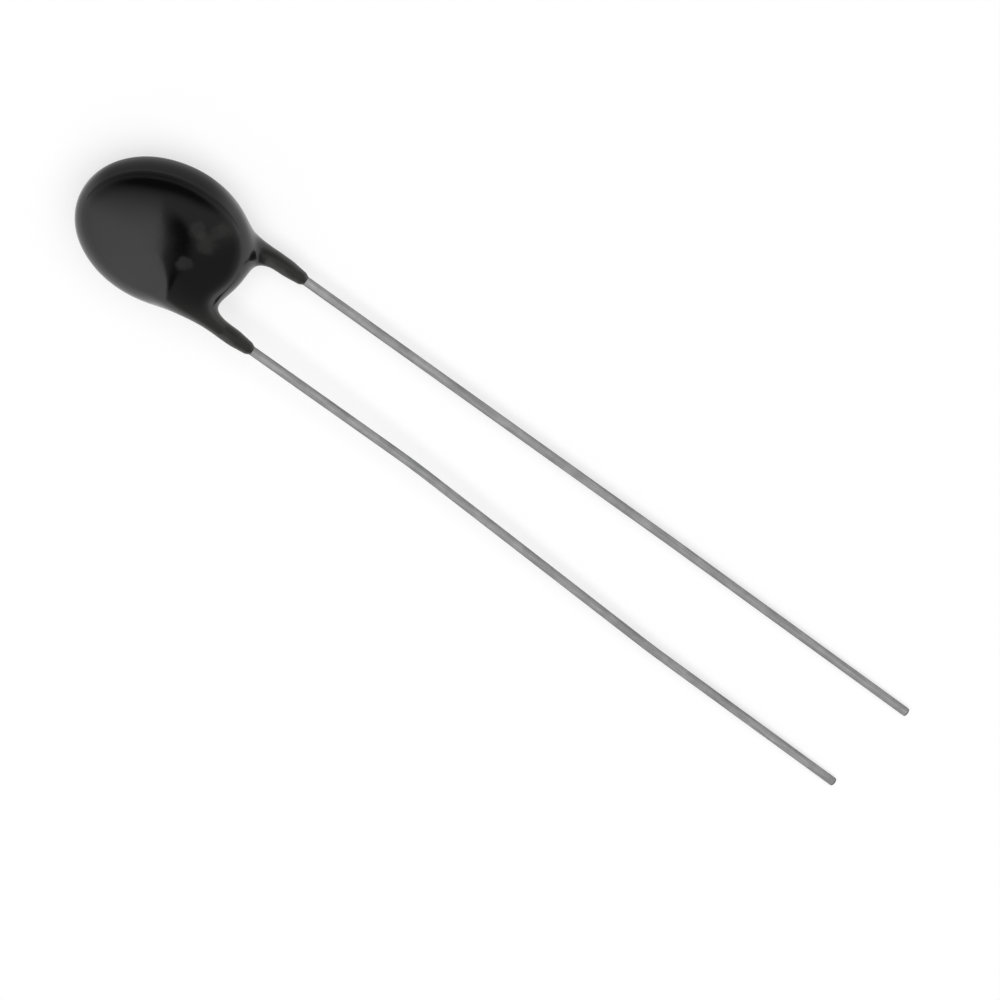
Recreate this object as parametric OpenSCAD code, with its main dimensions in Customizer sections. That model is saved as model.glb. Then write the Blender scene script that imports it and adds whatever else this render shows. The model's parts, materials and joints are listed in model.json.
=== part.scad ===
// Bead thermistor with two long wire leads.
// A ceramic disc with a fired electrode on each face has a tinned wire soldered across each
// electrode, and a dipped epoxy coat closes round it all and runs a short way down both wires.
// The part lies as it comes to rest, on the underside of the bead and on both wire tips.
// X runs from the bead to the tips, and Z is up.

/* [Disc] */
// Diameter of the ceramic disc
disc_d = 6.4; // [5:0.1:8]
// Thickness of the ceramic disc
disc_t = 2; // [1.2:0.1:3]
// Bare ceramic left round each electrode
electrode_margin = 0.3; // [0.2:0.05:0.6]
// Thickness of each fired electrode
electrode_t = 0.05; // [0.03:0.01:0.1]

/* [Leads] */
// Diameter of the tinned wire
wire_d = 0.55; // [0.45:0.05:0.7]
// Distance between the wires where they leave the coat
lead_pitch = 5; // [4.5:0.1:6]
// Distance between the cut tips
tip_pitch = 6.7; // [5:0.1:8]
// Length of bare wire from the end of the coat to the cut tip
lead_free = 46.3; // [30:0.1:60]
// Straight run at the end of each wire
straight_end = 10; // [6:0.5:11]
// Step between the wires, across the bead's thickness, where they leave the coat
exit_step = 1.1; // [0.8:0.1:1.6]
// Distance of each wire's inner end from the middle line between the leads
inner_end_out = 0.9; // [0.6:0.1:1.2]
// Distance of each wire from that line where it leaves the disc
edge_out = 1.8; // [1.4:0.1:2.2]
// Clearance of the first bend past the disc's edge
edge_clear = 0.3; // [0.2:0.05:0.5]
// Straight run of each wire inside its leg
leg_straight = 2.2; // [1.8:0.1:2.6]
// Inside radius of the bends under the coat
bend_r = 1; // [0.8:0.1:1.4]
// Radius of the gentle bows along the free wire
bow_r = 60; // [40:5:80]
// How far the front wire bows in from the straight line
front_bow_in = 0.32; // [0:0.02:0.4]
// How far the front wire bows out from the straight line, nearer its tip
front_bow_out = 0.11; // [0:0.01:0.3]
// How far the rear wire bows out from the straight line
rear_bow_out = 0.1; // [0:0.02:0.4]

/* [Solder] */
// Width of the solder across each wire
solder_w = 1.5; // [1.2:0.1:2]
// Length of the solder along each wire
solder_l = 3.6; // [2.6:0.1:4]
// Solder between the electrode and the wire
solder_under = 0.05; // [0.03:0.01:0.1]
// Solder over the top of the wire
solder_over = 0.15; // [0.1:0.01:0.25]
// Solder past the inner end of the wire
solder_past_end = 0.5; // [0.4:0.05:0.7]

/* [Coat] */
// Epoxy over the solder, at the middle of each face
coat_over_face = 0.57; // [0.4:0.01:1]
// Epoxy past the disc's edge at the sides of the bead
coat_over_side = 1.02; // [0.8:0.01:1.4]
// Epoxy past the disc's edge at the ends of the bead
coat_over_end = 2; // [1.6:0.05:2.4]
// How full the bead's section is, from 2 for an ellipse upwards to a box
coat_fullness = 2.3; // [2:0.1:2.8]
// Lean of the bead's long axis from the leads, in degrees
coat_lean = 12; // [0:1:15]
// Length of the legs past the end of the bead
leg_l = 2.9; // [2.4:0.1:4]
// Epoxy on the wire along the legs
coat_on_wire = 0.255; // [0.2:0.005:0.4]
// Width of the fillet between the bead and its legs
fillet_w = 1.5; // [1.3:0.1:2.2]
// Size of the facets on the coat
facet = 0.3; // [0.28:0.01:0.4]

/* [Hidden] */
$fn = 64;
FRONT = 1;
REAR = -1;
NEAR_ZERO = 0.000001;

wire_r = wire_d / 2;
electrode_d = disc_d - 2 * electrode_margin;
electrode_top = disc_t / 2 + electrode_t;
wire_z = electrode_top + solder_under + wire_r;
solder_top = wire_z + wire_r + solder_over;

// Half sizes of the bead along its own axes, and along and across the leads
bead_a = disc_d / 2 + coat_over_end;
bead_b = disc_d / 2 + coat_over_side;
bead_c = solder_top + coat_over_face;
bead_x = norm([bead_a * cos(coat_lean), bead_b * sin(coat_lean)]);
bead_y = norm([bead_a * sin(coat_lean), bead_b * cos(coat_lean)]);

// Legs and leads, measured from the middle of the disc
leg_r = wire_r + coat_on_wire;
leg_reach = bead_a + leg_l;
lead_reach = leg_reach + lead_free;
inner_end_x = solder_past_end - solder_l / 2;
edge_x = disc_d / 2 + edge_clear;
exit_x = leg_reach - leg_straight;

// Places of the bows, as shares of the run from the coat to the straight end
front_bow_at = [0.36, 0.86];
rear_bow_at = 0.76;
bowed_run = lead_reach - exit_x - straight_end;

// Sides of the swept wire, steps round each bend, corners under the coat, and lap into the straight end
sweep_sides = 16;
bend_steps = 5;
covered_corners = 2;
sweep_relief = 0.002;
sweep_lap = 0.4;

function unit(v) = v / norm(v);
function mix(a, b, share) = a + (b - a) * share;

// Corners of a wire's route, for the front wire (side 1) or the rear wire (side -1).
// The front wire lies on the upper face and on the -Y side.
function exit_corner(side) = [exit_x, -side * lead_pitch / 2, side * exit_step / 2];
function tip(side) = [lead_reach, -side * tip_pitch / 2, 0];
function bow(side, share, out) =
    mix(exit_corner(side), tip(side), share * bowed_run / (lead_reach - exit_x)) + [0, -side * out, 0];
function bows(side) =
    side == FRONT
        ? [bow(side, front_bow_at[0], -front_bow_in), bow(side, front_bow_at[1], front_bow_out)]
        : [bow(side, rear_bow_at, rear_bow_out)];
function route(side) = [
    [inner_end_x, -side * inner_end_out, side * wire_z],
    [edge_x, -side * edge_out, side * wire_z],
    exit_corner(side),
    each bows(side),
    tip(side)
];

// Points along a route with each corner rounded, those under the coat by bend_r
function heading(from, to) = unit(to - from);
function corner_r(i) = i <= covered_corners ? bend_r + wire_r : bow_r;
function round_corner(a, v, b, r) =
    let (u = heading(a, v), w = heading(v, b), turn = acos(u * w), n = unit(w - u * (u * w)),
         start = v - u * r * tan(turn / 2))
    [for (k = [0 : bend_steps])
        let (angle = turn * k / bend_steps) start + r * (u * sin(angle) + n * (1 - cos(angle)))];
function pin_start(side) =
    let (r = route(side), n = len(r) - 1) r[n] - straight_end * heading(r[n - 1], r[n]);
function pin_heading(side) = let (r = route(side), n = len(r) - 1) heading(r[n - 1], r[n]);
function wire_points(side) =
    let (r = route(side))
    [r[0],
     for (i = [1 : len(r) - 2]) each round_corner(r[i - 1], r[i], r[i + 1], corner_r(i)),
     pin_start(side) + sweep_lap * pin_heading(side)];

// Frame with its Z along a heading and its X level
function level_frame(origin, h) =
    let (x = unit(cross([0, 0, 1], h)), y = cross(h, x))
    [[x.x, y.x, h.x, origin.x], [x.y, y.y, h.y, origin.y], [x.z, y.z, h.z, origin.z]];

// One closed tube of round section along a list of points
module sweep(points, radius) {
    last = len(points) - 1;
    n = sweep_sides;
    rings = [for (i = [0 : last])
        let (h = heading(points[max(i - 1, 0)], points[min(i + 1, last)]), m = level_frame(points[i], h))
        each [for (k = [0 : n - 1])
            let (a = 360 * k / n) m * [radius * cos(a), radius * sin(a), 0, 1]]];
    walls = [for (i = [0 : last - 1]) for (k = [0 : n - 1])
        let (j = (k + 1) % n, a = i * n)
        each [[a + k, a + n + k, a + n + j], [a + k, a + n + j, a + j]]];
    polyhedron(rings, [[for (k = [0 : n - 1]) k], [for (k = [n - 1 : -1 : 0]) last * n + k], each walls]);
}

module wire(side) {
    sweep(wire_points(side), wire_r - sweep_relief);
    multmatrix(level_frame(pin_start(side), pin_heading(side))) cylinder(d = wire_d, h = straight_end);
}

// Low mound of solder, round along the wire and cut flat at a height from the disc's middle
module solder_mound(side, flat) {
    mound_h = solder_top - electrode_top;
    mound_r = (pow(solder_w / 2, 2) + pow(mound_h, 2)) / (2 * mound_h);
    r = route(side);
    h = heading(r[0], r[1]);
    turn = atan2(h.y, h.x);
    middle = r[0] + h * (solder_l / 2 - solder_past_end);
    span = solder_l - solder_w;
    sink = side * (solder_top - mound_r);
    intersection() {
        translate([middle.x, middle.y, sink]) rotate([0, 0, turn]) {
            rotate([0, 90, 0]) cylinder(r = mound_r, h = span, center = true);
            for (end = [-1, 1]) translate([end * span / 2, 0, 0]) sphere(r = mound_r);
        }
        translate([0, 0, side * (flat + disc_t / 2)]) cube([disc_d, disc_d, disc_t], center = true);
    }
}

module electrode(side) {
    translate([0, 0, side * (electrode_top - electrode_t / 2)])
        cylinder(d = electrode_d, h = electrode_t, center = true);
}

module disc() cylinder(d = disc_d, h = disc_t, center = true);

// Everything inside the coat as one solid
module filling() {
    disc();
    cylinder(d = electrode_d, h = 2 * electrode_top, center = true);
    for (side = [FRONT, REAR]) {
        solder_mound(side, disc_t / 2);
        wire(side);
    }
}

// Distance fields of the coat: the bead, one leg, and the two blended with a fillet
function bead_gauge(p) =
    let (u = [p.x * cos(coat_lean) + p.y * sin(coat_lean), p.y * cos(coat_lean) - p.x * sin(coat_lean)],
         rim = norm([u.x / bead_a, u.y / bead_b]))
    pow(pow(rim, coat_fullness) + pow(abs(p.z) / bead_c, coat_fullness), 1 / coat_fullness);
function bead_field(p) = norm(p) * (1 - 1 / max(bead_gauge(p), NEAR_ZERO));
function segment_field(p, a, b, r) =
    let (share = (p - a) * (b - a) / ((b - a) * (b - a))) norm(p - mix(a, b, min(max(share, 0), 1))) - r;
function leg_field(p, side) =
    let (r = route(side), end = r[2] + heading(r[2], r[3]) * (leg_straight - leg_r))
    min(segment_field(p, r[1], r[2], leg_r), segment_field(p, r[2], end, leg_r));
function fillet(a, b, w) = let (h = max(w - abs(a - b), 0) / w) min(a, b) - h * h * w / 4;
function coat_field(p) =
    fillet(bead_field(p), min(leg_field(p, FRONT), leg_field(p, REAR)), fillet_w);

// Grid of cubic cells round the coat. Each cell that the surface crosses gives one point.
coat_y = max(bead_y, lead_pitch / 2 + leg_r);
grid_low = [-bead_x, -coat_y, -bead_c] - 2 * facet * [1, 1, 1];
grid_high = [leg_reach, coat_y, bead_c] + 2 * facet * [1, 1, 1];
cells = [for (k = [0 : 2]) ceil((grid_high[k] - grid_low[k]) / facet)];
CORNERS = [for (x = [0, 1]) for (y = [0, 1]) for (z = [0, 1]) [x, y, z]];
EDGES = [for (i = [0 : 7]) for (j = [i + 1 : 7])
    let (d = CORNERS[j] - CORNERS[i]) if (d * d == 1) [CORNERS[i], CORNERS[j]]];
function grid_point(c) = grid_low + facet * c;
function at(grid, c) = grid[c.x][c.y][c.z];
function crossed(grid, c) =
    let (inside = [for (k = CORNERS) if (at(grid, c + k) < 0) 1]) len(inside) > 0 && len(inside) < 8;
function running(list) = [for (i = 0, sum = 0; i < len(list); sum = sum + list[i], i = i + 1) sum];
function total(list) = list * [for (v = list) 1];

// Point of a crossed cell: the mean of its edge crossings, moved onto the surface
function edge_crossing(grid, c, e) =
    let (a = at(grid, c + e[0]), b = at(grid, c + e[1]))
    grid_point(mix(c + e[0], c + e[1], a / (a - b)));
function cell_point(grid, c) =
    let (hits = [for (e = EDGES)
             if ((at(grid, c + e[0]) < 0) != (at(grid, c + e[1]) < 0)) edge_crossing(grid, c, e)],
         sum = [for (k = [0 : 2]) total([for (h = hits) h[k]])])
    onto_surface(onto_surface(sum / len(hits)));
function slope(p) =
    let (d = facet / 10)
    [for (step = [[d, 0, 0], [0, d, 0], [0, 0, d]]) (coat_field(p + step) - coat_field(p - step)) / (2 * d)];
function onto_surface(p) = let (g = slope(p)) p - g * coat_field(p) / (g * g);

// The two triangles across a grid edge where the field changes sign, facing outwards
AXES = [[[1, 0, 0], [0, 1, 0], [0, 0, 1]], [[0, 1, 0], [0, 0, 1], [1, 0, 0]], [[0, 0, 1], [1, 0, 0], [0, 1, 0]]];
function edge_faces(grid, index, points, c, axes) =
    let (a = at(grid, c) < 0, b = at(grid, c + axes[0]) < 0)
    a == b ? [] :
    let (loop = [for (s = [[1, 1], [1, 0], [0, 0], [0, 1]]) at(index, c - s[0] * axes[1] - s[1] * axes[2])],
         q = a ? loop : [loop[3], loop[2], loop[1], loop[0]],
         short = norm(points[q[0]] - points[q[2]]) < norm(points[q[1]] - points[q[3]]))
    short ? [[q[0], q[1], q[2]], [q[0], q[2], q[3]]] : [[q[1], q[2], q[3]], [q[1], q[3], q[0]]];

// The outside of the coat as one closed surface
module coat_skin() {
    grid = [for (x = [0 : cells.x]) [for (y = [0 : cells.y]) [for (z = [0 : cells.z])
        coat_field(grid_point([x, y, z]))]]];
    used = [for (x = [0 : cells.x - 1]) [for (y = [0 : cells.y - 1]) [for (z = [0 : cells.z - 1])
        crossed(grid, [x, y, z]) ? 1 : 0]]];
    base = running([for (plane = used) for (column = plane) total(column)]);
    index = [for (x = [0 : cells.x - 1]) [for (y = [0 : cells.y - 1])
        let (first = base[x * cells.y + y]) [for (k = running(used[x][y])) first + k]]];
    points = [for (x = [0 : cells.x - 1]) for (y = [0 : cells.y - 1]) for (z = [0 : cells.z - 1])
        if (used[x][y][z] == 1) cell_point(grid, [x, y, z])];
    faces = [for (x = [1 : cells.x - 1]) for (y = [1 : cells.y - 1]) for (z = [1 : cells.z - 1])
        for (axes = AXES) each edge_faces(grid, index, points, [x, y, z], axes)];
    polyhedron(points, faces);
}

// Rest on a flat surface: the bead's lowest point and both tips touch it.
// dual is the exponent of the bead's reach in any direction.
dual = coat_fullness / (coat_fullness - 1);
function bead_reach(along, up) =
    pow(pow(bead_x * abs(along), dual) + pow(bead_c * abs(up), dual), 1 / dual);
function settle(angle, rounds) =
    rounds == 0 ? angle
    : settle(asin((bead_reach(sin(angle), cos(angle)) - wire_r) / lead_reach), rounds - 1);
rest_angle = settle(0, 8);
rest_height = bead_reach(sin(rest_angle), cos(rest_angle));
rest_middle = (lead_reach * cos(rest_angle) - bead_reach(cos(rest_angle), sin(rest_angle))) / 2;

module at_rest() {
    translate([-rest_middle, 0, rest_height]) rotate([0, rest_angle, 0]) children();
}

module epoxy_coat() {
    color("#1b1b1c") at_rest() difference() {
        coat_skin();
        filling();
    }
}

module ceramic_disc() {
    color("#4a4642") at_rest() disc();
}

module front_electrode() {
    color("#d9d7d0") at_rest() electrode(FRONT);
}

module rear_electrode() {
    color("#d9d7d0") at_rest() electrode(REAR);
}

module front_solder() {
    color("#a9abad") at_rest() difference() {
        solder_mound(FRONT, electrode_top);
        wire(FRONT);
    }
}

module rear_solder() {
    color("#a9abad") at_rest() difference() {
        solder_mound(REAR, electrode_top);
        wire(REAR);
    }
}

module front_lead() {
    color("#9a9a9a") at_rest() wire(FRONT);
}

module rear_lead() {
    color("#9a9a9a") at_rest() wire(REAR);
}

epoxy_coat();
ceramic_disc();
front_electrode();
rear_electrode();
front_solder();
rear_solder();
front_lead();
rear_lead();
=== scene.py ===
"""Bead thermistor: a black bead of dipped epoxy on two long tinned wire leads."""

import json
import math

import bpy
import numpy as np
import openvdb
from bpy.props import FloatProperty, IntProperty, PointerProperty, StringProperty
from mathutils import Matrix, Quaternion, Vector


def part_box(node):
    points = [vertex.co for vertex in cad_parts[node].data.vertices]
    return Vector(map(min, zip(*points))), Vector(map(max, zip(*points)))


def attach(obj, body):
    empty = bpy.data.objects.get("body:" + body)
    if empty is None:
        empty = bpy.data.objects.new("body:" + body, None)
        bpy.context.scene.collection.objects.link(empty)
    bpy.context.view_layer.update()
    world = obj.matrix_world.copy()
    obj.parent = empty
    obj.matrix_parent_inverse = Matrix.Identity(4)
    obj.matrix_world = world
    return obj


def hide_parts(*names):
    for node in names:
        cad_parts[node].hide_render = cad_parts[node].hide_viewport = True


bl_info = {
    "name": "Bead thermistor",
    "version": (1, 0, 0),
    "blender": (4, 5, 0),
    "location": "View3D > Sidebar > Thermistor",
    "description": "Builds an epoxy-dipped bead thermistor with two wire leads, and a studio round it",
    "category": "Add Mesh",
}

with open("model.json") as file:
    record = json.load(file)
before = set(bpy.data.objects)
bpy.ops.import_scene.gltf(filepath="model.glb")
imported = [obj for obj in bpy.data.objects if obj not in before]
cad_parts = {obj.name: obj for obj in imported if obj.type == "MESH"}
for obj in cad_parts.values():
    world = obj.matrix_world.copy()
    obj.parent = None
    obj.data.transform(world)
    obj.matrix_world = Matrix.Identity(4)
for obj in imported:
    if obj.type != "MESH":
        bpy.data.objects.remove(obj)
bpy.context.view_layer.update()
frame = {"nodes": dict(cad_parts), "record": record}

MM = 0.001
FRONT = 1
REAR = -1
SIDES = {FRONT: "front", REAR: "rear"}
TINY = 1e-9
TIPS = {mount["name"]: mount for mount in frame["record"]["mounts"]}
WIRE_R = TIPS["front_tip"]["dims"]["r_mm"] * MM
# Radius that the epoxy's film ends with on a wire, as a share of the wire's own
FILM_END = 0.9


# Settings

class CoatSettings(bpy.types.PropertyGroup):
    """Sizes and colours of the dipped epoxy coat"""
    bead_long: FloatProperty(
        name="Bead length", description="Bead along its long axis", default=10.4 * MM, unit="LENGTH")
    bead_wide: FloatProperty(
        name="Bead width", description="Bead across its long axis", default=8.44 * MM, unit="LENGTH")
    bead_thick: FloatProperty(
        name="Bead thickness", description="Bead from face to face", default=4.74 * MM, unit="LENGTH")
    fullness: FloatProperty(
        name="Fullness", description="Section of the bead, from 2 for an ellipse up to a box", default=2.3)
    lean: FloatProperty(
        name="Lean", description="Turn of the bead's long axis from the leads",
        default=math.radians(12), subtype="ANGLE")
    leg_d: FloatProperty(
        name="Leg diameter", description="Epoxy round each wire", default=1.06 * MM, unit="LENGTH")
    leg_tip_d: FloatProperty(
        name="Leg end diameter", description="Leg at its round end", default=0.84 * MM, unit="LENGTH")
    leg_taper: FloatProperty(
        name="Leg taper", description="Length over which a leg narrows to its end",
        default=0.9 * MM, unit="LENGTH")
    leg_straight: FloatProperty(
        name="Leg length", description="Straight run of each wire inside its leg",
        default=2.2 * MM, unit="LENGTH")
    fillet: FloatProperty(
        name="Fillet", description="Width of the blend between the bead and its legs",
        default=2.25 * MM, unit="LENGTH")
    ridge_x: FloatProperty(
        name="Ridge start", description="Place of the ridge's start on the bead, along the middle line",
        default=2.0 * MM, unit="LENGTH")
    ridge_out: FloatProperty(
        name="Ridge offset", description="Distance of the ridge's start from the middle line",
        default=2.05 * MM, unit="LENGTH")
    ridge_z: FloatProperty(
        name="Ridge height", description="Height of the ridge's start over the middle of the disc",
        default=1.5 * MM, unit="LENGTH")
    meniscus: FloatProperty(
        name="Meniscus", description="Width of the blend between a leg's end and its wire",
        default=0.3 * MM, unit="LENGTH")
    ripple: FloatProperty(
        name="Ripple", description="Height of the slow ripples that the resin cured with",
        default=0.009 * MM, unit="LENGTH")
    ripple_length: FloatProperty(
        name="Ripple length", description="Distance between the ripples", default=2.6 * MM, unit="LENGTH")
    cell: FloatProperty(
        name="Cell", description="Size of the coat's mesh cells", default=0.1 * MM, unit="LENGTH")
    thin_reach: FloatProperty(
        name="Thin reach", description="Distance from the bead at which the film is at its thinnest",
        default=1.0 * MM, unit="LENGTH")
    colour: StringProperty(
        name="Epoxy", description="Colour of the epoxy, as sRGB hex", default="#060606")
    thin_colour: StringProperty(
        name="Thin epoxy", description="Colour of the thin film on the legs, as sRGB hex",
        default="#222120")


class LeadSettings(bpy.types.PropertyGroup):
    """Sizes and colours of the wire leads"""
    pitch: FloatProperty(
        name="Pitch", description="Distance between the wires where they leave the coat",
        default=5 * MM, unit="LENGTH")
    exit_step: FloatProperty(
        name="Step", description="Step between the wires across the thickness, where they leave the coat",
        default=1.1 * MM, unit="LENGTH")
    exit_x: FloatProperty(
        name="Exit corner", description="Distance of the last bend under the coat from the disc's middle",
        default=5.9 * MM, unit="LENGTH")
    edge_x: FloatProperty(
        name="Edge corner", description="Distance of the bend past the disc's edge from the disc's middle",
        default=3.5 * MM, unit="LENGTH")
    edge_out: FloatProperty(
        name="Edge offset", description="Distance of each wire from the middle line at the disc's edge",
        default=1.8 * MM, unit="LENGTH")
    inner_x: FloatProperty(
        name="Inner end", description="Place of each wire's inner end along the middle line",
        default=-1.3 * MM, unit="LENGTH")
    inner_out: FloatProperty(
        name="Inner offset", description="Distance of each wire's inner end from the middle line",
        default=0.9 * MM, unit="LENGTH")
    wire_z: FloatProperty(
        name="Wire height", description="Height of each wire over the middle of the disc",
        default=1.375 * MM, unit="LENGTH")
    bend_r: FloatProperty(
        name="Bend radius", description="Radius of the bends under the coat, at the middle of the wire",
        default=1.275 * MM, unit="LENGTH")
    bow_r: FloatProperty(
        name="Bow radius", description="Radius of the gentle bows along the free wire",
        default=60 * MM, unit="LENGTH")
    front_bow_in: FloatProperty(
        name="Front bow in", description="How far the front wire bows in",
        default=0.32 * MM, unit="LENGTH")
    front_bow_out: FloatProperty(
        name="Front bow out", description="How far the front wire bows out nearer its tip",
        default=0.11 * MM, unit="LENGTH")
    rear_bow_out: FloatProperty(
        name="Rear bow out", description="How far the rear wire bows out", default=0.1 * MM, unit="LENGTH")
    front_in_at: FloatProperty(
        name="Front bow in at", description="Place of the front wire's inward bow along its bowed run",
        default=0.36, min=0, max=1, subtype="FACTOR")
    front_out_at: FloatProperty(
        name="Front bow out at", description="Place of the front wire's outward bow along its bowed run",
        default=0.86, min=0, max=1, subtype="FACTOR")
    rear_out_at: FloatProperty(
        name="Rear bow out at", description="Place of the rear wire's bow along its bowed run",
        default=0.76, min=0, max=1, subtype="FACTOR")
    cut_rim: FloatProperty(
        name="Cut rim", description="Radius of the softened rim at a cut end",
        default=0.02 * MM, unit="LENGTH")
    cut_band: FloatProperty(
        name="Cut band", description="Width of the dark band that the cutter left round a cut end",
        default=0.09 * MM, unit="LENGTH")
    sides: IntProperty(name="Sides", description="Sides of the wire's section", default=32, min=12)
    ring_step: FloatProperty(
        name="Ring step", description="Distance between the rings of the wire's mesh",
        default=0.4 * MM, unit="LENGTH")
    colour: StringProperty(
        name="Tin", description="Colour of the tinned wire, as sRGB hex", default="#aaaaaa")
    dull_colour: StringProperty(
        name="Dull tin", description="Colour of the duller patches, as sRGB hex", default="#8c8c8c")
    edge_colour: StringProperty(
        name="Tin edge", description="Tint of the metal's sheen at the wire's edges, as sRGB hex",
        default="#6c6c6c")
    core_colour: StringProperty(
        name="Core", description="Colour of the sheared core at the tips, as sRGB hex", default="#57524d")


class InsideSettings(bpy.types.PropertyGroup):
    """Colours of the pieces inside the coat"""
    ceramic_colour: StringProperty(
        name="Ceramic", description="Colour of the oxide ceramic, as sRGB hex", default="#4a4642")
    ceramic_dark: StringProperty(
        name="Dark ceramic", description="Colour of its darker grains, as sRGB hex", default="#332f2c")
    silver_colour: StringProperty(
        name="Silver", description="Colour of the fired electrodes, as sRGB hex", default="#d9d7d0")
    silver_dark: StringProperty(
        name="Dark silver", description="Colour of their darker grain, as sRGB hex", default="#b9b6ae")
    solder_colour: StringProperty(
        name="Solder", description="Colour of the solder, as sRGB hex", default="#a9abad")
    solder_dark: StringProperty(
        name="Dark solder", description="Colour of its darker frost, as sRGB hex", default="#8d8f92")


class StageSettings(bpy.types.PropertyGroup):
    """Camera, floor and lights"""
    lens: FloatProperty(
        name="Lens", description="Focal length for a sensor 36 mm wide", default=89.56, unit="CAMERA")
    distance: FloatProperty(
        name="Distance", description="Camera to the point that it aims at",
        default=150 * MM, unit="LENGTH")
    azimuth: FloatProperty(
        name="Azimuth", description="Camera round the part, from the -Y side",
        default=math.radians(214.65), subtype="ANGLE")
    elevation: FloatProperty(
        name="Elevation", description="Camera above the floor", default=math.radians(64), subtype="ANGLE")
    roll: FloatProperty(
        name="Roll", description="Turn of the camera about its own axis",
        default=math.radians(185), subtype="ANGLE")
    aim_x: FloatProperty(
        name="Aim X", description="Point on the floor that the camera aims at",
        default=1.19 * MM, unit="LENGTH")
    aim_y: FloatProperty(
        name="Aim Y", description="Point on the floor that the camera aims at",
        default=-1.71 * MM, unit="LENGTH")
    floor_size: FloatProperty(
        name="Floor", description="Side of the square floor", default=6.0, unit="LENGTH")
    floor_colour: StringProperty(
        name="Floor colour", description="Colour of the floor, as sRGB hex", default="#a8a8a8")
    floor_lift: FloatProperty(
        name="Floor lift", description="What lifts the floor to white under the lamp", default=0.59)
    floor_lift_far: FloatProperty(
        name="Far floor lift", description="The same far out, where the lamp doesn't reach", default=0.88)
    lamp_height: FloatProperty(
        name="Lamp height", description="Soft lamp above the floor", default=0.3, unit="LENGTH")
    lamp_size: FloatProperty(
        name="Lamp size", description="Side of the square lamp", default=0.4, unit="LENGTH")
    lamp_y: FloatProperty(
        name="Lamp Y", description="Middle of the lamp, from the part's middle",
        default=0.1, unit="LENGTH")
    lamp_light: FloatProperty(
        name="Lamp light", description="Brightness of the lamp's face", default=2.1)
    lamp_reach: FloatProperty(
        name="Lamp reach", description="Distance at which the floor is out of the lamp's light",
        default=0.5, unit="LENGTH")
    card_height: FloatProperty(
        name="Card height", description="Card overhead above the floor", default=0.33, unit="LENGTH")
    card_size: FloatProperty(
        name="Card size", description="Side of the square card overhead", default=40.0, unit="LENGTH")
    card_turn: FloatProperty(
        name="Card turn", description="Turn of both cards", default=math.radians(39), subtype="ANGLE")
    # The grey card is a painted shadow: it stands for the bead's shadow on the floor on the camera's side,
    # as gloss sees it
    grey_size: FloatProperty(
        name="Grey card size", description="Side of the grey card on the floor",
        default=3.0, unit="LENGTH")
    grey_height: FloatProperty(
        name="Grey card height", description="Grey card above the floor", default=0.05 * MM, unit="LENGTH")
    grey_light: FloatProperty(
        name="Grey card light", description="Brightness of the grey card", default=0.45)
    world_light: FloatProperty(
        name="World light", description="Brightness of the soft light from all round", default=0.3)


# Small tools

def linear(hex_colour):
    """Linear RGBA of an sRGB hex colour."""
    parts = [int(hex_colour[i:i + 2], 16) / 255 for i in (1, 3, 5)]
    return [c / 12.92 if c <= 0.04045 else ((c + 0.055) / 1.055) ** 2.4 for c in parts] + [1.0]


def add_node(tree, kind, inputs=None, **settings):
    """Add a node, give it its settings, and set or link its inputs."""
    node = tree.nodes.new(kind)
    for name, value in settings.items():
        setattr(node, name, value)
    for name, value in (inputs or {}).items():
        if isinstance(value, bpy.types.NodeSocket):
            tree.links.new(value, node.inputs[name])
        else:
            node.inputs[name].default_value = value
    return node


def new_material(name):
    """An empty material, and its node tree."""
    material = bpy.data.materials.new(name)
    material.use_nodes = True
    material.node_tree.nodes.clear()
    return material, material.node_tree


def place(name, mesh, slot, *nodes):
    """Put a mesh in the scene as a piece that stands for CAD nodes."""
    piece = bpy.data.objects.new(name, mesh)
    bpy.context.scene.collection.objects.link(piece)
    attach(piece, "root")
    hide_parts(*nodes)
    return piece


def finish_node(name, material):
    """Give a CAD node its material."""
    mesh = frame["nodes"][name].data
    mesh.materials.clear()
    mesh.materials.append(material)


def node_middle(name):
    """Middle of a CAD node's box."""
    low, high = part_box(name)
    return (low + high) / 2


def disc_frame():
    """Frame of the disc: its middle, X along the leads, and Z out of its front face."""
    up = (node_middle("front_electrode") - node_middle("rear_electrode")).normalized()
    across = Vector((0, 1, 0))
    turned = Matrix((across.cross(up), across, up)).transposed().to_4x4()
    return Matrix.Translation(node_middle("ceramic_disc")) @ turned


def moved(points, matrix):
    """Points, as rows, moved by a matrix."""
    turn = np.array(matrix.to_3x3())
    return points @ turn.T + np.array(matrix.translation)


def unit(v):
    """Vector of length 1 in the same direction."""
    return v / np.linalg.norm(v)


# Route of the leads, in the disc's frame

def tip_ends(side):
    """Start and tip of a lead's straight end."""
    mount = TIPS[SIDES[side] + "_tip"]
    back = disc_frame().inverted()
    half = Vector(mount["axis"]).normalized() * mount["dims"]["length_mm"] * MM / 2
    middle = Vector(mount["pos_m"])
    return np.array(back @ (middle - half)), np.array(back @ (middle + half))


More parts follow.
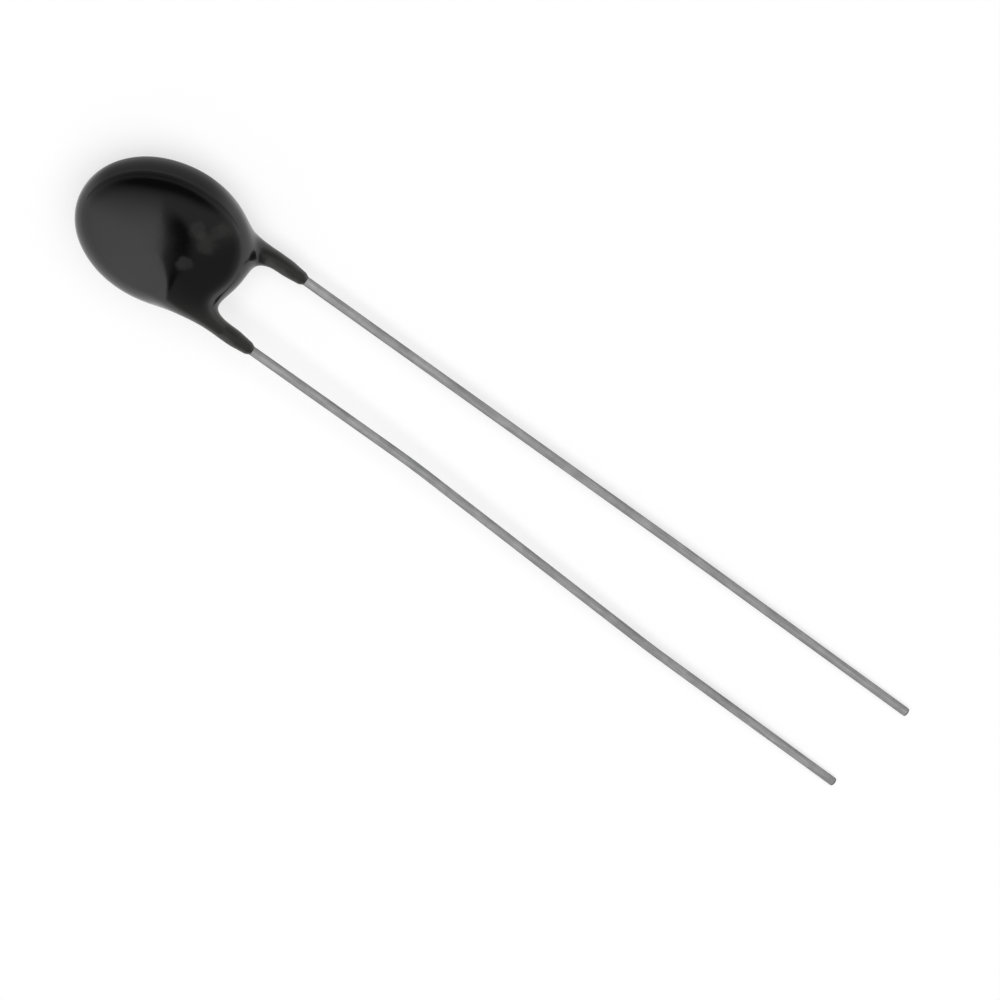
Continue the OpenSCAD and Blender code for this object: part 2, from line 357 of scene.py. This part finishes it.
def lead_corners(side):
    """Corners of a lead's route and the radius at each corner between its ends."""
    lead = bpy.context.scene.thermistor_leads
    start, tip = tip_ends(side)
    exit_corner = np.array([lead.exit_x, -side * lead.pitch / 2, side * lead.exit_step / 2])
    run = tip - exit_corner
    bowed = 1 - np.linalg.norm(tip - start) / np.linalg.norm(run)
    bows = {
        FRONT: [(lead.front_in_at, -lead.front_bow_in), (lead.front_out_at, lead.front_bow_out)],
        REAR: [(lead.rear_out_at, lead.rear_bow_out)],
    }
    corners = [
        np.array([lead.inner_x, -side * lead.inner_out, side * lead.wire_z]),
        np.array([lead.edge_x, -side * lead.edge_out, side * lead.wire_z]),
        exit_corner,
    ]
    for share, out in bows[side]:
        corners.append(exit_corner + run * share * bowed + np.array([0, -side * out, 0]))
    corners.append(tip)
    radii = [lead.bend_r] * 2 + [lead.bow_r] * len(bows[side])
    return corners, radii


def rounded(corners, radii, step):
    """Points along a route with its corners rounded, no further apart than a step on the straights."""
    bend_steps = 10
    points = [corners[0]]
    for a, v, b, r in zip(corners, corners[1:], corners[2:], radii):
        u = unit(v - a)
        w = unit(b - v)
        turn = math.acos(float(np.clip(u @ w, -1, 1)))
        n = unit(w - u * (u @ w))
        start = v - u * r * math.tan(turn / 2)
        for k in range(bend_steps + 1):
            angle = turn * k / bend_steps
            points.append(start + r * (u * math.sin(angle) + n * (1 - math.cos(angle))))
    points.append(corners[-1])
    filled = [points[0]]
    for a, b in zip(points, points[1:]):
        parts = max(1, math.ceil(np.linalg.norm(b - a) / step))
        filled += [a + (b - a) * k / parts for k in range(1, parts + 1)]
    return np.array(filled)


# Shape of the coat, in the disc's frame

def bead_field(p, coat):
    """Distance from the bead: an ellipse from above, with a fuller section."""
    along = p[..., 0] * math.cos(coat.lean) + p[..., 1] * math.sin(coat.lean)
    across = p[..., 1] * math.cos(coat.lean) - p[..., 0] * math.sin(coat.lean)
    rim = np.hypot(2 * along / coat.bead_long, 2 * across / coat.bead_wide)
    face = 2 * np.abs(p[..., 2]) / coat.bead_thick
    gauge = (rim ** coat.fullness + face ** coat.fullness) ** (1 / coat.fullness)
    return np.linalg.norm(p, axis=-1) * (1 - 1 / np.maximum(gauge, TINY))


def bar_field(p, a, b, r_a, r_b):
    """Distance from a round bar between two points, with a radius at each."""
    share = np.clip((p - a) @ (b - a) / ((b - a) @ (b - a)), 0, 1)
    return np.linalg.norm(p - a - share[..., None] * (b - a), axis=-1) - r_a - share * (r_b - r_a)


def fillet(a, b, width):
    """Two distances joined with a hollow blend that leaves no crease."""
    near = np.maximum(width - np.abs(a - b), 0) / width
    return np.minimum(a, b) - near ** 3 * width / 6


def leg_field(p, coat, side):
    """Distance from a leg: epoxy along the covered wire, which narrows and ends round on the wire.
    The front leg runs on over the bead's upper face as a low ridge."""
    corners, radii = lead_corners(side)
    heading = unit(corners[3] - corners[2])
    root = corners[1]
    if side == FRONT:
        root = np.array([coat.ridge_x, -coat.ridge_out, coat.ridge_z])
    end = corners[2] + heading * (coat.leg_straight - coat.leg_tip_d / 2)
    axis = rounded([root, corners[2], end], radii[:1], coat.leg_taper / 3)
    reach = np.linalg.norm(np.diff(axis, axis=0), axis=1)[::-1].cumsum()[::-1]
    to_end = np.append(reach, 0)
    widths = np.interp(to_end, [0, coat.leg_taper], [coat.leg_tip_d, coat.leg_d]) / 2
    leg = np.full(p.shape[:-1], np.inf)
    for a, b, r_a, r_b in zip(axis, axis[1:], widths, widths[1:]):
        leg = np.minimum(leg, bar_field(p, a, b, r_a, r_b))
    under_wire = FILM_END * WIRE_R
    film_end = end + heading * (coat.leg_tip_d / 2 + coat.meniscus)
    return fillet(leg, bar_field(p, end, film_end, under_wire, under_wire), coat.meniscus)


def ripples(p, coat):
    """Slow ripples of the cured resin, as a few crossing waves that only sink into the coat."""
    seed = 11
    count = 9
    # Shortest and longest wave, in ripple lengths, and depth of the waves' middle, in ripple heights
    shortest = 0.7
    longest = 1.6
    sink = 2.0
    waves = np.random.default_rng(seed)
    height = np.full(p.shape[:-1], sink)
    for _ in range(count):
        heading = unit(waves.normal(size=3))
        length = coat.ripple_length * waves.uniform(shortest, longest)
        phase = waves.uniform(0, 2 * math.pi)
        height += np.sin(p @ heading * 2 * math.pi / length + phase) / math.sqrt(count)
    return coat.ripple * height


def coat_field(p, coat):
    """Distance from the outside of the coat."""
    legs = np.minimum(leg_field(p, coat, FRONT), leg_field(p, coat, REAR))
    return fillet(bead_field(p, coat), legs, coat.fillet) + ripples(p, coat)


def slope(field, p, step):
    """Direction in which a field grows fastest, as rows."""
    moves = step * np.eye(3)
    return np.stack([field(p + m) - field(p - m) for m in moves], -1) / (2 * step)


def skin(field, low, high, cell):
    """Closed mesh of the surface where a field is zero: points, quads and exact normals."""
    axes = [np.arange(low[k], high[k], cell) for k in range(3)]
    grid_points = np.stack(np.meshgrid(*axes, indexing="ij"), -1)
    grid = openvdb.FloatGrid(1.0)
    grid.copyFromArray((field(grid_points) / cell).astype(np.float32))
    points, quads = grid.convertToQuads()
    points = np.array(low) + points.astype(float) * cell
    step = cell / 5
    rounds = 3
    for _ in range(rounds):
        g = slope(field, points, step)
        points -= g * (field(points) / (g * g).sum(-1))[:, None]
    g = slope(field, points, step)
    return points, quads, g / np.linalg.norm(g, axis=-1)[:, None]


# Materials

# Dull smears on the bead's upper face, painted paler as a painted sheen: place in the disc's frame and
# size, in mm, and how pale each is painted
SMEARS_AND_SHEEN = [
    ((1.7, 0.1, 2.28), 0.55, 1.0),
    ((1.1, 2.1, 2.1), 0.65, 2.0),
    ((1.9, 1.8, 2.1), 0.8, 2.4),
    ((2.2, 2.8, 1.7), 0.75, 2.4),
]
# Roughness that a smear adds, the share of its size that is evenly dull, and how far its edge wanders
SMEAR_DULL = 0.25
SMEAR_CORE = 0.4
SMEAR_WANDER = 0.8 * MM


def black_epoxy(coat):
    """Dipped epoxy: opaque black resin that flowed and cured in the open, so it has a deep gloss
    with soft ripples, a few dull smears from handling whose paler colour is a painted sheen, and a
    thinner, satin film on the legs."""
    haze_size = 1.5 * MM
    ragged_size = 0.9 * MM
    peel_size = 0.35 * MM
    material, tree = new_material("black_epoxy")
    at = add_node(tree, "ShaderNodeTexCoord").outputs["Object"]
    leg = add_node(tree, "ShaderNodeAttribute", attribute_name="leg_share").outputs["Fac"]
    haze = add_node(tree, "ShaderNodeTexNoise", {
        "Vector": at, "Scale": 1 / haze_size, "Detail": 3.0, "Roughness": 0.55}).outputs["Fac"]
    rough = add_node(tree, "ShaderNodeMapRange", {
        "Value": haze, "From Min": 0.35, "From Max": 0.75,
        "To Min": 0.1, "To Max": 0.16}).outputs["Result"]
    dull = add_node(tree, "ShaderNodeMapRange", {
        "Value": leg, "To Min": 0.0, "To Max": 0.22}).outputs["Result"]
    rough = add_node(tree, "ShaderNodeMath", {0: rough, 1: dull}, operation="ADD").outputs["Value"]
    wander = add_node(tree, "ShaderNodeTexNoise", {
        "Vector": at, "Scale": 1 / ragged_size, "Detail": 3.0}).outputs["Color"]
    wavy = add_node(tree, "ShaderNodeVectorMath", {
        0: wander, 1: (SMEAR_WANDER,) * 3, 2: at}, operation="MULTIPLY_ADD").outputs["Vector"]
    # Share of the paler colour: the legs' thin film, plus the painted sheen on the smears
    film = leg
    for spot, size, pale in SMEARS_AND_SHEEN:
        middle = disc_frame() @ (Vector(spot) * MM) + Vector((SMEAR_WANDER / 2,) * 3)
        away = add_node(tree, "ShaderNodeVectorMath", {
            0: wavy, 1: middle}, operation="DISTANCE").outputs["Value"]
        smear_and_sheen = add_node(tree, "ShaderNodeMapRange", {
            "Value": away, "From Min": SMEAR_CORE * size * MM, "From Max": size * MM,
            "To Min": SMEAR_DULL, "To Max": 0.0}, interpolation_type="SMOOTHSTEP").outputs["Result"]
        rough = add_node(tree, "ShaderNodeMath", {0: rough, 1: smear_and_sheen}, operation="ADD").outputs["Value"]
        # Painted sheen: each smear paints the bead paler, as if it caught light
        film = add_node(tree, "ShaderNodeMath", {
            0: smear_and_sheen, 1: pale, 2: film}, operation="MULTIPLY_ADD").outputs["Value"]
    peel = add_node(tree, "ShaderNodeTexNoise", {
        "Vector": at, "Scale": 1 / peel_size, "Detail": 2.0}).outputs["Fac"]
    bump = add_node(tree, "ShaderNodeBump", {
        "Height": peel, "Strength": 0.05, "Distance": 0.02 * MM}).outputs["Normal"]
    colour = add_node(tree, "ShaderNodeMix", {
        0: film, 6: linear(coat.colour), 7: linear(coat.thin_colour)}, data_type="RGBA").outputs[2]
    shader = add_node(tree, "ShaderNodeBsdfPrincipled", {
        "Base Color": colour, "Roughness": rough, "IOR": 1.55, "Normal": bump})
    add_node(tree, "ShaderNodeOutputMaterial", {"Surface": shader.outputs["BSDF"]})
    return material


def tinned_wire(lead):
    """Drawn copper wire with a dipped tin coat: a soft satin grey with a faint metal sheen, fine streaks
    along the wire, and duller patches where the tin ran thinner."""
    # Real drawing lines are about 0.01 mm wide. These are drawn coarser, so that they show
    streak_long = 6 * MM
    streak_wide = 0.08 * MM
    patch_size = 1.2 * MM
    material, tree = new_material("tinned_wire")
    at = add_node(tree, "ShaderNodeTexCoord").outputs["Object"]
    along = add_node(tree, "ShaderNodeMapping", {
        "Vector": at, "Scale": (1 / streak_long, 1 / streak_wide, 1 / streak_wide)}).outputs["Vector"]
    streak = add_node(tree, "ShaderNodeTexNoise", {
        "Vector": along, "Scale": 1.0, "Detail": 3.0}).outputs["Fac"]
    patch = add_node(tree, "ShaderNodeTexNoise", {
        "Vector": at, "Scale": 1 / patch_size, "Detail": 4.0, "Roughness": 0.6}).outputs["Fac"]
    both = add_node(tree, "ShaderNodeMath", {0: streak, 1: patch}, operation="MULTIPLY").outputs["Value"]
    share = add_node(tree, "ShaderNodeMapRange", {
        "Value": both, "From Min": 0.15, "From Max": 0.4}).outputs["Result"]
    colour = add_node(tree, "ShaderNodeMix", {
        0: share, 6: linear(lead.dull_colour), 7: linear(lead.colour)}, data_type="RGBA").outputs[2]
    rough = add_node(tree, "ShaderNodeMapRange", {
        "Value": patch, "From Min": 0.3, "From Max": 0.7, "To Min": 0.5, "To Max": 0.4}).outputs["Result"]
    bump = add_node(tree, "ShaderNodeBump", {
        "Height": both, "Strength": 0.25, "Distance": 0.02 * MM}).outputs["Normal"]
    shader = add_node(tree, "ShaderNodeBsdfPrincipled", {
        "Base Color": colour, "Metallic": 0.18, "Roughness": rough,
        "Specular IOR Level": 0.0, "Specular Tint": linear(lead.edge_colour), "Normal": bump})
    add_node(tree, "ShaderNodeOutputMaterial", {"Surface": shader.outputs["BSDF"]})
    return material


def sheared_core(lead):
    """Core of the wire where a cutter sheared it: dull bare metal with torn lines across it."""
    tear_long = 0.3 * MM
    tear_wide = 0.03 * MM
    material, tree = new_material("sheared_core")
    at = add_node(tree, "ShaderNodeTexCoord").outputs["Object"]
    across = add_node(tree, "ShaderNodeMapping", {
        "Vector": at, "Scale": (1 / tear_long, 1 / tear_long, 1 / tear_wide)}).outputs["Vector"]
    torn = add_node(tree, "ShaderNodeTexNoise", {
        "Vector": across, "Scale": 1.0, "Detail": 3.0}).outputs["Fac"]
    colour = add_node(tree, "ShaderNodeMix", {
        0: torn, 6: linear(lead.dull_colour), 7: linear(lead.core_colour)}, data_type="RGBA").outputs[2]
    bump = add_node(tree, "ShaderNodeBump", {
        "Height": torn, "Strength": 0.5, "Distance": 0.02 * MM}).outputs["Normal"]
    shader = add_node(tree, "ShaderNodeBsdfPrincipled", {
        "Base Color": colour, "Metallic": 0.5, "Roughness": 0.55, "Normal": bump})
    add_node(tree, "ShaderNodeOutputMaterial", {"Surface": shader.outputs["BSDF"]})
    return material


def grainy(name, colour, darker, grain, roughness, metallic):
    """A fine-grained surface: two tones and a bump at the grain's size."""
    material, tree = new_material(name)
    at = add_node(tree, "ShaderNodeTexCoord").outputs["Object"]
    grit = add_node(tree, "ShaderNodeTexNoise", {
        "Vector": at, "Scale": 1 / grain, "Detail": 4.0}).outputs["Fac"]
    tone = add_node(tree, "ShaderNodeMix", {
        0: grit, 6: linear(darker), 7: linear(colour)}, data_type="RGBA").outputs[2]
    bump = add_node(tree, "ShaderNodeBump", {
        "Height": grit, "Strength": 0.3, "Distance": grain / 5}).outputs["Normal"]
    shader = add_node(tree, "ShaderNodeBsdfPrincipled", {
        "Base Color": tone, "Metallic": metallic, "Roughness": roughness, "Normal": bump})
    add_node(tree, "ShaderNodeOutputMaterial", {"Surface": shader.outputs["BSDF"]})
    return material


def seen(tree):
    """1 for rays from the camera and for those that gloss and glass send out, 0 for soft light."""
    path = add_node(tree, "ShaderNodeLightPath").outputs
    mirror = add_node(tree, "ShaderNodeMath", {
        0: path["Is Glossy Ray"], 1: path["Is Transmission Ray"]}, operation="MAXIMUM")
    both = add_node(tree, "ShaderNodeMath", {
        0: path["Is Camera Ray"], 1: mirror.outputs["Value"]}, operation="MAXIMUM")
    return both.outputs["Value"]


def white_floor(stage):
    """Matt paper that keeps the shadow and is lifted to white where it is seen."""
    material, tree = new_material("white_floor")
    paper = add_node(tree, "ShaderNodeBsdfDiffuse", {"Color": linear(stage.floor_colour)})
    at = add_node(tree, "ShaderNodeTexCoord").outputs["Object"]
    away = add_node(tree, "ShaderNodeVectorMath", {
        0: at, 1: (0, stage.lamp_y, 0)}, operation="DISTANCE").outputs["Value"]
    white = add_node(tree, "ShaderNodeMapRange", {
        "Value": away, "From Max": stage.lamp_reach, "To Min": stage.floor_lift,
        "To Max": stage.floor_lift_far}, interpolation_type="SMOOTHSTEP").outputs["Result"]
    lift = add_node(tree, "ShaderNodeMath", {0: seen(tree), 1: white}, operation="MULTIPLY")
    glow = add_node(tree, "ShaderNodeEmission", {"Strength": lift.outputs["Value"]})
    both = add_node(tree, "ShaderNodeAddShader", {0: paper.outputs["BSDF"], 1: glow.outputs["Emission"]})
    add_node(tree, "ShaderNodeOutputMaterial", {"Surface": both.outputs["Shader"]})
    return material


def studio_card():
    """Card overhead that only gloss sees: a light window to one side with a soft top, nearly black
    towards the camera, dark grey elsewhere, and paler far out, though less so on the camera's side.
    Places and sizes are in metres from the bead."""
    # Middle, turn in degrees and half size of each dark patch
    dark_patches = [((0.08, 0.40, 0), -6, (0.55, 0.22, 1)), ((0.03, -0.08, 0), -10, (0.04, 0.12, 1))]
    # Corner and turn of the window, and how far its side and its top fade out
    window_corner = (-0.04, -0.14, 0)
    window_turn = math.radians(-12)
    window_fade = (0.012, 0.34, 1)
    # The pale surroundings start nearer at the sides
    pale_stretch = (1.8, 1, 1)
    material, tree = new_material("studio_card")
    at = add_node(tree, "ShaderNodeTexCoord").outputs["Object"]
    side = add_node(tree, "ShaderNodeSeparateXYZ", {"Vector": at}).outputs
    grey = add_node(tree, "ShaderNodeMapRange", {
        "Value": side["Y"], "From Min": -0.22, "From Max": 0.06, "To Min": 0.2, "To Max": 0.36},
        interpolation_type="SMOOTHSTEP").outputs["Result"]
    for middle, turn, size in dark_patches:
        patch = add_node(tree, "ShaderNodeMapping", {
            "Vector": at, "Location": middle, "Rotation": (0, 0, math.radians(turn)), "Scale": size},
            vector_type="TEXTURE").outputs["Vector"]
        off = add_node(tree, "ShaderNodeVectorMath", {0: patch}, operation="LENGTH").outputs["Value"]
        clear = add_node(tree, "ShaderNodeMapRange", {
            "Value": off, "From Min": 0.45, "From Max": 1.3, "To Min": 0.08},
            interpolation_type="SMOOTHSTEP").outputs["Result"]
        grey = add_node(tree, "ShaderNodeMath", {0: grey, 1: clear}, operation="MULTIPLY").outputs["Value"]
    stretched = add_node(tree, "ShaderNodeVectorMath", {
        0: at, 1: pale_stretch}, operation="MULTIPLY").outputs["Vector"]
    away = add_node(tree, "ShaderNodeVectorMath", {0: stretched}, operation="LENGTH").outputs["Value"]
    pale = add_node(tree, "ShaderNodeMapRange", {
        "Value": away, "From Min": 0.9, "From Max": 4.0, "To Max": 0.75}).outputs["Result"]
    grey = add_node(tree, "ShaderNodeMath", {0: grey, 1: pale}, operation="ADD").outputs["Value"]
    near_camera = add_node(tree, "ShaderNodeMapRange", {
        "Value": side["Y"], "From Min": 0.3, "To Min": 1.0, "To Max": 0.4},
        interpolation_type="SMOOTHSTEP").outputs["Result"]
    grey = add_node(tree, "ShaderNodeMath", {
        0: grey, 1: near_camera}, operation="MULTIPLY").outputs["Value"]
    window = add_node(tree, "ShaderNodeMapping", {
        "Vector": at, "Location": window_corner, "Rotation": (0, 0, window_turn),
        "Scale": window_fade}, vector_type="TEXTURE").outputs["Vector"]
    past = add_node(tree, "ShaderNodeVectorMath", {0: window}, operation="MAXIMUM").outputs["Vector"]
    edge = add_node(tree, "ShaderNodeVectorMath", {0: past}, operation="LENGTH").outputs["Value"]
    inside = add_node(tree, "ShaderNodeMapRange", {
        "Value": edge, "To Min": 1.0, "To Max": 0.0}, interpolation_type="SMOOTHSTEP").outputs["Result"]
    bright = add_node(tree, "ShaderNodeMapRange", {
        "Value": side["X"], "From Min": -0.7, "From Max": -0.1,
        "To Min": 0.9, "To Max": 1.2}).outputs["Result"]
    light = add_node(tree, "ShaderNodeMix", {0: inside, 2: grey, 3: bright}).outputs[0]
    glow = add_node(tree, "ShaderNodeEmission", {"Strength": light})
    add_node(tree, "ShaderNodeOutputMaterial", {"Surface": glow.outputs["Emission"]})
    return material


def shadow_card(stage):
    """Grey card on the floor that only gloss sees, on the camera's side of the bead: a painted shadow,
    which stands for the bead's shadow on the floor as gloss sees it.
    It is white towards its sides, where it goes over into the floor."""
    material, tree = new_material("shadow_card")
    at = add_node(tree, "ShaderNodeTexCoord").outputs["Object"]
    heading = add_node(tree, "ShaderNodeVectorMath", {0: at}, operation="NORMALIZE").outputs["Vector"]
    ahead = add_node(tree, "ShaderNodeSeparateXYZ", {"Vector": heading}).outputs["Y"]
    light = add_node(tree, "ShaderNodeMapRange", {
        "Value": ahead, "From Min": 0.3, "From Max": 0.8, "To Min": 1.0, "To Max": stage.grey_light},
        interpolation_type="SMOOTHSTEP").outputs["Result"]
    glow = add_node(tree, "ShaderNodeEmission", {"Strength": light})
    add_node(tree, "ShaderNodeOutputMaterial", {"Surface": glow.outputs["Emission"]})
    return material


# Operators

class THERMISTOR_OT_coat(bpy.types.Operator):
    """Build the epoxy bead with its two legs"""
    bl_idname = "thermistor.coat"
    bl_label = "Epoxy coat"

    def execute(self, context):
        coat = context.scene.thermistor_coat
        lead = context.scene.thermistor_leads
        reach = coat.bead_long / 2
        leg_end = lead.exit_x + coat.leg_straight + coat.meniscus
        margin = 4 * coat.cell
        low = np.array([-reach, -reach, -coat.bead_thick / 2]) - margin
        high = np.array([leg_end, reach, coat.bead_thick / 2]) + margin
        points, quads, normals = skin(lambda p: coat_field(p, coat), low, high, coat.cell)
        disc = disc_frame()
        mesh = bpy.data.meshes.new("bead_coat")
        mesh.from_pydata(moved(points, disc).tolist(), [], quads.tolist())
        mesh.polygons.foreach_set("use_smooth", [True] * len(mesh.polygons))
        mesh.normals_split_custom_set_from_vertices((normals @ np.array(disc.to_3x3()).T).tolist())
        # Share of the thin film, from none on the bead to all on the legs, with a smooth step
        out = np.clip(bead_field(points, coat) / coat.thin_reach, 0, 1)
        share = out * out * (3 - 2 * out)
        film = mesh.attributes.new("leg_share", "FLOAT", "POINT")
        film.data.foreach_set("value", share.astype(np.float32))
        mesh.materials.append(black_epoxy(coat))
        place("bead_coat", mesh, "black_epoxy", "epoxy_coat")
        return {"FINISHED"}


class THERMISTOR_OT_leads(bpy.types.Operator):
    """Build the two wire leads"""
    bl_idname = "thermistor.leads"
    bl_label = "Wire leads"

    def execute(self, context):
        lead = context.scene.thermistor_leads
        tin = tinned_wire(lead)
        core = sheared_core(lead)
        for side, name in SIDES.items():
            mesh = self.wire(name + "_wire", lead, *lead_corners(side))
            mesh.materials.append(tin)
            mesh.materials.append(core)
            place(name + "_wire", mesh, "tinned_wire", name + "_lead")
        return {"FINISHED"}

    def wire(self, name, lead, corners, radii):
        """A round wire along a route, with a softened rim and a dark band at each cut end."""
        route = rounded(corners, radii, lead.ring_step)
        headings = np.gradient(route, axis=0)
        last = len(route) - 1
        # Distance from the cut end and radius of each ring, from the end to the dark band's edge
        rim_rings = 4
        rim = [(lead.cut_rim * (1 - math.sin(a)), WIRE_R - lead.cut_rim * (1 - math.cos(a)))
               for a in np.linspace(math.pi / 2, 0, rim_rings)]
        rim.append((lead.cut_band, WIRE_R))
        rings = [(0, back, r) for back, r in rim]
        rings += [(i, 0, WIRE_R) for i in range(1, last)]
        rings += [(last, -back, r) for back, r in reversed(rim)]
        n = lead.sides
        points = []
        for i, shift, r in rings:
            h = unit(headings[i])
            x = unit(np.cross([0, 0, 1], h))
            y = np.cross(h, x)
            for a in np.arange(n) * 2 * math.pi / n:
                points.append(route[i] + h * shift + r * (x * math.cos(a) + y * math.sin(a)))
        rows = len(rings) - 1
        rim_rows = len(rim) - 1
        faces = [tuple(range(n - 1, -1, -1))]
        sheared = [True]
        for i in range(rows):
            for k in range(n):
                j = (k + 1) % n
                faces.append((i * n + k, i * n + j, (i + 1) * n + j, (i + 1) * n + k))
                sheared.append(i < rim_rows or i >= rows - rim_rows)
        faces.append(tuple(rows * n + k for k in range(n)))
        sheared.append(True)
        mesh = bpy.data.meshes.new(name)
        mesh.from_pydata(moved(np.array(points), disc_frame()).tolist(), [], faces)
        mesh.polygons.foreach_set("use_smooth", [True] * len(mesh.polygons))
        mesh.polygons.foreach_set("material_index", [int(cut) for cut in sheared])
        for cap in (0, len(faces) - 1):
            mesh.polygons[cap].use_smooth = False
        return mesh


class THERMISTOR_OT_disc(bpy.types.Operator):
    """Finish the ceramic disc"""
    bl_idname = "thermistor.disc"
    bl_label = "Ceramic disc"

    def execute(self, context):
        inside = context.scene.thermistor_inside
        # Sintered oxide: matt and dark. Its grains, about 0.01 mm, are drawn coarser, so that they show
        grain = 0.05 * MM
        ceramic = grainy("oxide_ceramic", inside.ceramic_colour, inside.ceramic_dark, grain, 0.7, 0.0)
        finish_node("ceramic_disc", ceramic)
        return {"FINISHED"}


class THERMISTOR_OT_electrodes(bpy.types.Operator):
    """Finish the two fired electrodes"""
    bl_idname = "thermistor.electrodes"
    bl_label = "Electrodes"

    def execute(self, context):
        inside = context.scene.thermistor_inside
        # Fired silver paste: pale and matt, with the grain of its print screen
        grain = 0.1 * MM
        silver = grainy("fired_silver", inside.silver_colour, inside.silver_dark, grain, 0.45, 1.0)
        for name in SIDES.values():
            finish_node(name + "_electrode", silver)
        return {"FINISHED"}


class THERMISTOR_OT_solder(bpy.types.Operator):
    """Finish the two solder joints"""
    bl_idname = "thermistor.solder"
    bl_label = "Solder joints"

    def execute(self, context):
        inside = context.scene.thermistor_inside
        # Solder: bright and smooth, with a faint frost of crystals
        grain = 0.2 * MM
        solder = grainy("solder", inside.solder_colour, inside.solder_dark, grain, 0.25, 1.0)
        for name in SIDES.values():
            finish_node(name + "_solder", solder)
        return {"FINISHED"}


class THERMISTOR_OT_stage(bpy.types.Operator):
    """Set up the floor, the lights and the camera"""
    bl_idname = "thermistor.stage"
    bl_label = "Stage"

    def execute(self, context):
        stage = context.scene.thermistor_stage
        context.scene.view_settings.view_transform = "Standard"
        self.camera(context, stage)
        self.plane(context, "floor", stage.floor_size, white_floor(stage))
        self.cards(context, stage)
        self.lamp(context, stage)
        self.world(context, stage)
        return {"FINISHED"}

    def camera(self, context, stage):
        """Camera above the part, turned about its own axis as in the photo."""
        camera = bpy.data.cameras.new("camera")
        camera.lens = stage.lens
        camera.clip_start = stage.distance / 20
        camera.clip_end = 2 * stage.floor_size
        eye = bpy.data.objects.new("camera", camera)
        context.scene.collection.objects.link(eye)
        level = math.cos(stage.elevation)
        back = Vector((
            math.sin(stage.azimuth) * level, -math.cos(stage.azimuth) * level, math.sin(stage.elevation)))
        eye.location = Vector((stage.aim_x, stage.aim_y, 0)) + back * stage.distance
        eye.rotation_mode = "QUATERNION"
        eye.rotation_quaternion = (-back).to_track_quat("-Z", "Y") @ Quaternion((0, 0, 1), stage.roll)
        context.scene.camera = eye

    def plane(self, context, name, size, material, near=-0.5):
        """A square sheet. Its near edge lies at a share of its size from its origin."""
        half = size / 2
        low = near * size
        high = low + size
        mesh = bpy.data.meshes.new(name)
        mesh.from_pydata(
            [(-half, low, 0), (half, low, 0), (half, high, 0), (-half, high, 0)], [], [(0, 1, 2, 3)])
        mesh.materials.append(material)
        plane = bpy.data.objects.new(name, mesh)
        context.scene.collection.objects.link(plane)
        return plane

    def cards(self, context, stage):
        """Cards overhead and on the floor, which only gloss sees. The one on the floor is a painted shadow
        of the bead.
        """
        bead = node_middle("ceramic_disc")
        overhead = self.plane(context, "studio_card", stage.card_size, studio_card())
        overhead.location = (bead.x, bead.y, stage.card_height)
        # Painted shadow: a grey card where gloss would see the bead's shadow on the floor
        grey = self.plane(context, "shadow_card", stage.grey_size, shadow_card(stage), near=0)
        grey.location = (bead.x, bead.y, stage.grey_height)
        for card in (overhead, grey):
            card.rotation_euler.z = stage.card_turn
            card.visible_camera = False
            card.visible_diffuse = False
            card.visible_transmission = False
            card.visible_shadow = False

    def lamp(self, context, stage):
        """Soft lamp overhead, which gloss doesn't see."""
        lamp = bpy.data.lights.new("lamp", "AREA")
        lamp.size = stage.lamp_size
        lamp.energy = stage.lamp_light * math.pi * stage.lamp_size ** 2
        soft = bpy.data.objects.new("lamp", lamp)
        context.scene.collection.objects.link(soft)
        soft.location = (0, stage.lamp_y, stage.lamp_height)
        soft.visible_camera = False
        soft.visible_glossy = False

    def world(self, context, stage):
        """Soft light from all round, which looks white where it is seen."""
        world = bpy.data.worlds.new("surroundings")
        world.use_nodes = True
        tree = world.node_tree
        tree.nodes.clear()
        white = linear("#ffffff")
        soft = add_node(tree, "ShaderNodeBackground", {"Color": white, "Strength": stage.world_light})
        plain = add_node(tree, "ShaderNodeBackground", {"Color": white, "Strength": 1.0})
        both = add_node(tree, "ShaderNodeMixShader", {
            0: seen(tree), 1: soft.outputs["Background"], 2: plain.outputs["Background"]})
        add_node(tree, "ShaderNodeOutputWorld", {"Surface": both.outputs["Shader"]})
        context.scene.world = world


class THERMISTOR_PT_panel(bpy.types.Panel):
    """Lists the pieces of the bead thermistor"""
    bl_idname = "THERMISTOR_PT_panel"
    bl_label = "Bead thermistor"
    bl_space_type = "VIEW_3D"
    bl_region_type = "UI"
    bl_category = "Thermistor"

    def draw(self, context):
        for operator in OPERATORS:
            self.layout.operator(operator.bl_idname)


SETTINGS = {
    "thermistor_coat": CoatSettings,
    "thermistor_leads": LeadSettings,
    "thermistor_inside": InsideSettings,
    "thermistor_stage": StageSettings,
}
OPERATORS = [
    THERMISTOR_OT_coat,
    THERMISTOR_OT_leads,
    THERMISTOR_OT_disc,
    THERMISTOR_OT_electrodes,
    THERMISTOR_OT_solder,
    THERMISTOR_OT_stage,
]
CLASSES = [*SETTINGS.values(), *OPERATORS, THERMISTOR_PT_panel]


def register():
    """Register the settings, the operators and the panel."""
    for cls in CLASSES:
        bpy.utils.register_class(cls)
    for name, group in SETTINGS.items():
        setattr(bpy.types.Scene, name, PointerProperty(type=group))


def unregister():
    """Take out what register put in."""
    for name in SETTINGS:
        delattr(bpy.types.Scene, name)
    for cls in reversed(CLASSES):
        bpy.utils.unregister_class(cls)


def main():
    """Build each piece and the stage."""
    register()
    bpy.ops.thermistor.coat()
    bpy.ops.thermistor.leads()
    bpy.ops.thermistor.disc()
    bpy.ops.thermistor.electrodes()
    bpy.ops.thermistor.solder()
    bpy.ops.thermistor.stage()


if __name__ == "__main__":
    main()
